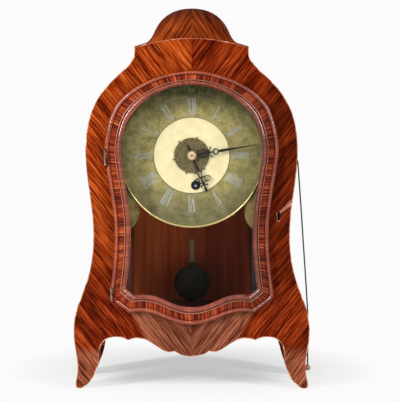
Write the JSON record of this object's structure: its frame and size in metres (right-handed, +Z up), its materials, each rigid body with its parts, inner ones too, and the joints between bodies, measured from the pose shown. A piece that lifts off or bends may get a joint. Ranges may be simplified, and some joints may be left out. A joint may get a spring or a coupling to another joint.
{
  "type": "table clock",
  "caption": "Pendulum table clock in a shaped wooden case with a glazed door, round dial, alarm disc, pull cord and short pendulum.",
  "frame": {"origin": "on the floor, under the middle of the case's bounding box, the free cord and knob left out", "axes": "+Z up, +X to the right seen from the front, +Y to the back; the dial faces -Y"},
  "size_m": [0.3165, 0.1613, 0.5021],
  "materials": {
    "kingwood": "polished veneer",
    "moulding_wood": "polished",
    "dark_wood": "satin",
    "glass": "clear",
    "brass": "satin",
    "dial_brass": "painted, worn",
    "gilt": "polished",
    "ivory": "smooth",
    "black_steel": "blued and blackened",
    "steel": "satin",
    "dark_iron": "dull",
    "bob_metal": "dark patina",
    "bell_metal": "satin",
    "cord": "twisted",
    "knob_wood": "smooth"
  },
  "bodies": {
    "case": {"front_board": "kingwood", "side_left": "kingwood", "side_right": "kingwood", "back_board": "dark_wood", "back_screws": "dark_iron", "crest": "kingwood", "floor_board": "dark_wood", "cheek_left": "dark_wood", "cheek_right": "dark_wood", "mask_plate": "dial_brass", "mask_screws": "steel", "hinge_case_knuckles": "brass", "hinge_pins": "brass", "escutcheon": "brass", "lock_case": "dark_iron", "lock_screws": "dark_iron", "dial_plate": "dial_brass", "dial_rim": "gilt", "dial_centre": "ivory", "dial_feet": "brass", "winding_bush": "black_steel", "front_plate": "brass", "back_plate": "brass", "pillars": "brass", "plate_posts": "brass", "back_cock": "brass", "bell": "bell_metal", "bell_stand": "steel", "cord_eyelet": "brass", "inner_cord": "cord", "pull_cord": "cord"},
    "door": {"door_frame": "kingwood", "door_moulding": "moulding_wood", "glass_pane": "glass", "glass_beads": "dark_wood", "hinge_door_knuckles": "brass"},
    "bolt": {"lock_bolt": "steel"},
    "pendulum": {"suspension_spring": "steel", "pendulum_rod": "brass", "pendulum_bob": "bob_metal", "bob_collar": "bob_metal"},
    "anchor": {"anchor": "steel"},
    "minute_train": {"centre_wheel": "brass", "cannon_pinion": "brass", "minute_hand": "black_steel", "hand_collet": "ivory", "hand_pin": "gilt"},
    "minute_wheel": {"minute_wheel": "brass"},
    "hour_train": {"hour_wheel": "brass", "hour_hand": "black_steel"},
    "barrel": {"spring_barrel": "brass", "mainspring": "steel"},
    "third_wheel": {"third_wheel": "brass"},
    "escape_wheel": {"escape_wheel": "brass"},
    "alarm_disc": {"alarm_disc": "dial_brass"},
    "winding_arbor": {"winding_arbor": "steel"},
    "click": {"ratchet_click": "steel"},
    "knob": {"pull_knob": "knob_wood"},
    "pulley": {"alarm_pulley": "brass"},
    "hammer": {"alarm_hammer": "steel"}
  },
  "joints": [
    {"name": "door_hinge", "type": "hinge", "parent": "case", "child": "door", "pos_m": [-0.1053, -0.0732, 0.125], "axis": [0.0435, 0, -0.9991], "range_deg": [0, 105]},
    {"name": "bolt_slide", "type": "slide", "parent": "case", "child": "bolt", "axis": [-1, 0, 0], "range_m": [0, 0.006]},
    {"name": "pendulum_swing", "type": "hinge", "parent": "case", "child": "pendulum", "pos_m": [0, 0.03, 0.339], "axis": [0, 1, 0], "range_deg": [-4, 4]},
    {"name": "anchor_rock", "type": "hinge", "parent": "case", "child": "anchor", "pos_m": [0, 0.008, 0.339], "axis": [0, 1, 0], "range_deg": [-4, 4]},
    {"name": "minute_turn", "type": "hinge", "parent": "case", "child": "minute_train", "pos_m": [0, 0, 0.307], "axis": [0, 1, 0], "continuous": true},
    {"name": "minute_wheel_turn", "type": "hinge", "parent": "case", "child": "minute_wheel", "pos_m": [-0.01559, 0, 0.298], "axis": [0, 1, 0], "continuous": true},
    {"name": "hour_turn", "type": "hinge", "parent": "case", "child": "hour_train", "pos_m": [0, 0, 0.307], "axis": [0, 1, 0], "continuous": true},
    {"name": "barrel_turn", "type": "hinge", "parent": "case", "child": "barrel", "pos_m": [0.0053, 0, 0.2672], "axis": [0, 1, 0], "continuous": true},
    {"name": "third_turn", "type": "hinge", "parent": "case", "child": "third_wheel", "pos_m": [-0.02599, 0, 0.30781], "axis": [0, 1, 0], "continuous": true},
    {"name": "escape_turn", "type": "hinge", "parent": "case", "child": "escape_wheel", "pos_m": [-0.0151, 0, 0.3292], "axis": [0, 1, 0], "continuous": true},
    {"name": "alarm_disc_turn", "type": "hinge", "parent": "hour_train", "child": "alarm_disc", "pos_m": [0, 0, 0.307], "axis": [0, 1, 0], "continuous": true},
    {"name": "winding_turn", "type": "hinge", "parent": "case", "child": "winding_arbor", "pos_m": [0.0053, 0, 0.2672], "axis": [0, 1, 0], "continuous": true},
    {"name": "click_lift", "type": "hinge", "parent": "case", "child": "click", "pos_m": [0.0208, 0, 0.2712], "axis": [0, 1, 0], "range_deg": [0, 10]},
    {"name": "knob_pull", "type": "slide", "parent": "case", "child": "knob", "axis": [0, 0, -1], "range_m": [0, 0.012], "stiffness_N_per_m": 20, "deforming": ["pull_cord"]},
    {"name": "pulley_turn", "type": "hinge", "parent": "case", "child": "pulley", "pos_m": [0.044, 0, 0.31], "axis": [0, 1, 0], "range_deg": [-70, 70]},
    {"name": "hammer_swing", "type": "hinge", "parent": "case", "child": "hammer", "pos_m": [0.04, 0, 0.345], "axis": [0, 1, 0], "range_deg": [-2, 12]}
  ],
  "couplings": [
    {"joint": "anchor_rock", "follows": "pendulum_swing", "ratio": 1},
    {"joint": "minute_wheel_turn", "follows": "minute_turn", "ratio": -0.33333},
    {"joint": "hour_turn", "follows": "minute_turn", "ratio": 0.083333},
    {"joint": "barrel_turn", "follows": "minute_turn", "ratio": -0.14286},
    {"joint": "third_turn", "follows": "minute_turn", "ratio": -12},
    {"joint": "escape_turn", "follows": "minute_turn", "ratio": 132},
    {"joint": "pulley_turn", "follows": "knob_pull", "rad_per_m": -100}
  ]
}
